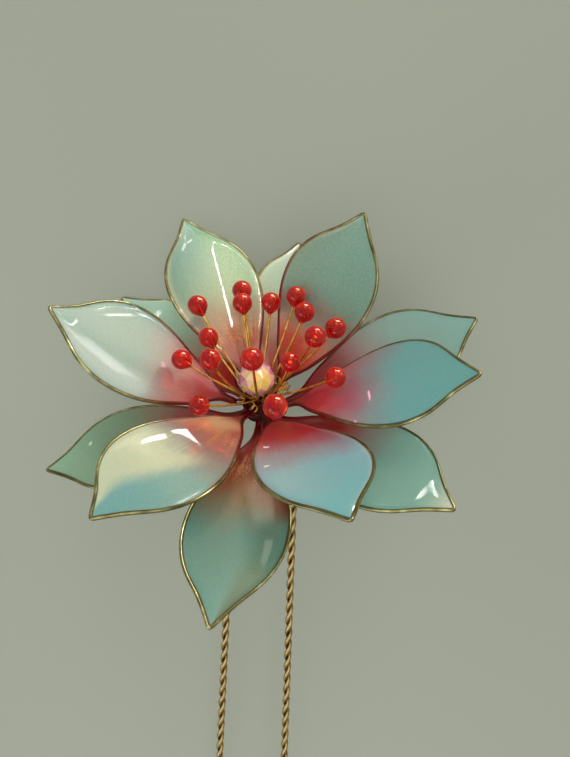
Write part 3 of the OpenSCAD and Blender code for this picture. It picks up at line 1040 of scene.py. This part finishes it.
warm = paint(255, 246, 222)
neutral = paint(255, 252, 246)
cool = paint(246, 250, 255)
golden = paint(255, 230, 170)
pink = paint(255, 170, 200)
sky = paint(206, 230, 255)
beads = [f"stamen_drop_{number}" for number in range(1, len(stamens) + 1)]
stalks = [f"stamen_stalk_{number}" for number in range(1, len(stamens) + 1)]
rims = [
    f"{ring}_wire_{number}" for ring, petals, _ in ring_of_petals
    for number in range(1, len(petals) + 1)
]
wires = [*rims, *stalks, "wire_curls", "faceted_crystal", "knob_threads", "twisted_fork"]
# Where each lamp is as seen from the flower, and the angle it fills, in degrees, how much
# of it fades to its edges, what it lights alone or leaves dark, and how many metres off
usual_fade = 0.5
usual_far = 1.3
Lamp = namedtuple(
    "Lamp", "name azimuth elevation wide high radiance colour fade only without far",
    defaults=(usual_fade, (), (), usual_far),
)
lamps = [
    Lamp("window", 42, 18, 34, 40, 1.6, neutral),
    Lamp("skylight", 91, 38, 24, 38, 2.2, warm),
    Lamp("ceiling", 200, 75, 70, 70, 1.25, cool, without=beads),
    Lamp("side", 215, 25, 36, 28, 2.4, cool),
    Lamp("floor_lamp", 200, 80, 80, 80, 1.6, neutral, only=["floor"]),
    Lamp("bead_lamp", 76, 6, 38, 24, 22, golden, fade=0.4, only=beads, far=0.3),
    Lamp("bead_glow", 250, 30, 40, 30, 5, pink, fade=1.0, only=beads),
    Lamp("crystal_lamp", 60, 55, 44, 40, 5, warm, only=["faceted_crystal"]),
    Lamp("wire_lamp", 64, 7, 12, 18, 18, neutral, fade=0.3, only=wires),
]
flower_middle = mm_to_m @ flower_to_rest @ Vector((0, 0, 0))
for lamp in lamps:
    away = at_angles(1, 90 - lamp.elevation, lamp.azimuth)
    width = 2 * lamp.far * math.tan(math.radians(lamp.wide / 2))
    height = 2 * lamp.far * math.tan(math.radians(lamp.high / 2))
    hang_light(
        lamp.name, lamp, flower_middle + lamp.far * away, away, Vector((0, 0, 1)).cross(away),
        width, height, lamp.only, lamp.without,
    )

world = bpy.data.worlds.new("room")
world.use_nodes = True
world.node_tree.nodes["Background"].inputs["Color"].default_value = paint(222, 226, 214)
world.node_tree.nodes["Background"].inputs["Strength"].default_value = 0.45
bpy.context.scene.world = world
bpy.context.scene.view_settings.view_transform = "Standard"


# Glints. The resin mirrors bright windows as narrow lines. Each is a narrow light shown by
# one petal from one place in the frame to another, in pixels, and as wide there as its row
# says, in millimetres.
Glint = namedtuple("Glint", "ring number x y end_x end_y width radiance colour fade")
glints = [
    Glint("inner", 1, 212, 244, 222, 285, 0.40, 50, neutral, 0.2),
    Glint("inner", 1, 222, 285, 233, 328, 0.50, 50, neutral, 0.2),
    Glint("inner", 1, 252, 275, 258, 300, 0.35, 16, neutral, 0.3),
    Glint("inner", 1, 194, 234, 187, 243, 0.25, 20, neutral, 0.5),
    Glint("inner", 1, 187, 243, 181, 250, 0.25, 16, neutral, 0.5),
    Glint("inner", 3, 368, 390, 370, 401, 0.50, 20, pink, 0.5),
    Glint("inner", 4, 262, 447, 265, 447, 0.30, 5, neutral, 0.5),
    Glint("inner", 4, 263, 466, 267, 467, 0.35, 5, neutral, 0.5),
    Glint("inner", 4, 342, 448, 342, 456, 0.22, 16, pink, 0.5),
    Glint("inner", 4, 352, 512, 353, 506, 0.60, 50, neutral, 0.3),
    Glint("inner", 5, 102, 467, 150, 441, 3.00, 3.0, warm, 0.5),
    Glint("inner", 5, 140, 441, 166, 434, 0.25, 50, neutral, 0.3),
    Glint("inner", 5, 170, 430, 188, 429, 0.12, 40, neutral, 0.3),
    Glint("inner", 5, 170, 505, 200, 490, 0.60, 45, neutral, 0.5),
    Glint("inner", 6, 59, 314, 72, 315, 0.25, 24, neutral, 0.5),
    Glint("inner", 6, 95, 311, 120, 307, 0.30, 20, neutral, 0.5),
    Glint("inner", 6, 120, 307, 141, 310, 0.30, 20, neutral, 0.5),
    Glint("inner", 6, 68, 324, 133, 380, 4.60, 7, cool, 0.6),
    Glint("inner", 6, 164, 360, 163, 368, 0.60, 10, pink, 0.6),
    Glint("outer", 1, 266, 268, 298, 247, 4.00, 20, sky, 0.6),
    Glint("outer", 3, 418, 494, 434, 484, 0.50, 22, neutral, 0.3),
    Glint("outer", 3, 418, 494, 438, 498, 0.50, 22, neutral, 0.3),
    Glint("outer", 3, 412, 436, 430, 460, 0.30, 20, neutral, 0.5),
    Glint("outer", 3, 370, 503, 400, 506, 1.20, 4, warm, 1.0),
    Glint("outer", 4, 256, 472, 265, 532, 2.40, 3.6, warm, 0.6),
    Glint("outer", 4, 269, 537, 261, 568, 1.20, 4, warm, 0.5),
    Glint("outer", 5, 91, 440, 89, 446, 0.30, 10, neutral, 0.8),
    Glint("outer", 6, 160, 316, 155, 312, 0.30, 16, neutral, 0.6),
]
# A glint hangs this far off, in metres, or less where that would be under the floor: then
# it goes a share of the way down to the floor, and counts as falling at least this steeply
glint_far = 0.06
share_of_fall = 0.7
least_fall = 0.01
# A place on a petal is sought, and the slope of its face measured, by steps along (a share)
# and across (in millimetres)
seek_rounds = 10
seek_along = 0.01
seek_across = 0.1
slope_along = 0.004
slope_across = 0.12


def in_frame(place):
    """Where the camera shows a place, in pixels from the frame's top left corner."""
    seen = camera.matrix_world.inverted() @ place
    focal = camera_data.lens / camera_data.sensor_width * frame_h
    return Vector((frame_w / 2 - focal * seen.x / seen.z, frame_h / 2 + focal * seen.y / seen.z))


def mirrored(petal, root_z, x, y):
    """Place on a petal that shows at x and y in the frame, and the way the ray leaves it."""
    def on_face(along, side):
        thick = film_half(half_width(petal, along) - abs(side))
        return mm_to_m @ flower_to_rest @ petal_place(petal, root_z, along, side, thick)
    along = 0.5
    side = 0.0
    for _ in range(seek_rounds):
        here = in_frame(on_face(along, side))
        by_along = (in_frame(on_face(along + seek_along, side)) - here) / seek_along
        by_side = (in_frame(on_face(along, side + seek_across)) - here) / seek_across
        off = Matrix((by_along, by_side)).transposed().inverted() @ (Vector((x, y)) - here)
        along += off.x
        side += off.y
    place = on_face(along, side)
    ahead = on_face(along + slope_along, side) - place
    beside = on_face(along, side + slope_across) - place
    ray = (place - camera_place).normalized()
    return place, ray.reflect(ahead.cross(beside).normalized())


petals_of = {ring: (petals, root_z) for ring, petals, root_z in ring_of_petals}
for number, glint in enumerate(glints, 1):
    petals, root_z = petals_of[glint.ring]
    petal = petals[glint.number - 1]
    start, way = mirrored(petal, root_z, glint.x, glint.y)
    end, end_way = mirrored(petal, root_z, glint.end_x, glint.end_y)
    fall = max(-way.z, -end_way.z, least_fall)
    far = min(glint_far, share_of_fall * min(start.z, end.z) / fall)
    near_end = start + far * way
    far_end = end + far * end_way
    line = far_end - near_end
    seen_from = (start - camera_place).length
    width = glint.width * mm * (seen_from + far) / seen_from
    film = f"{glint.ring}_film_{glint.number}"
    hang_light(
        f"glint_{number}", glint, (near_end + far_end) / 2, way + end_way, line,
        line.length, width, [film],
    )
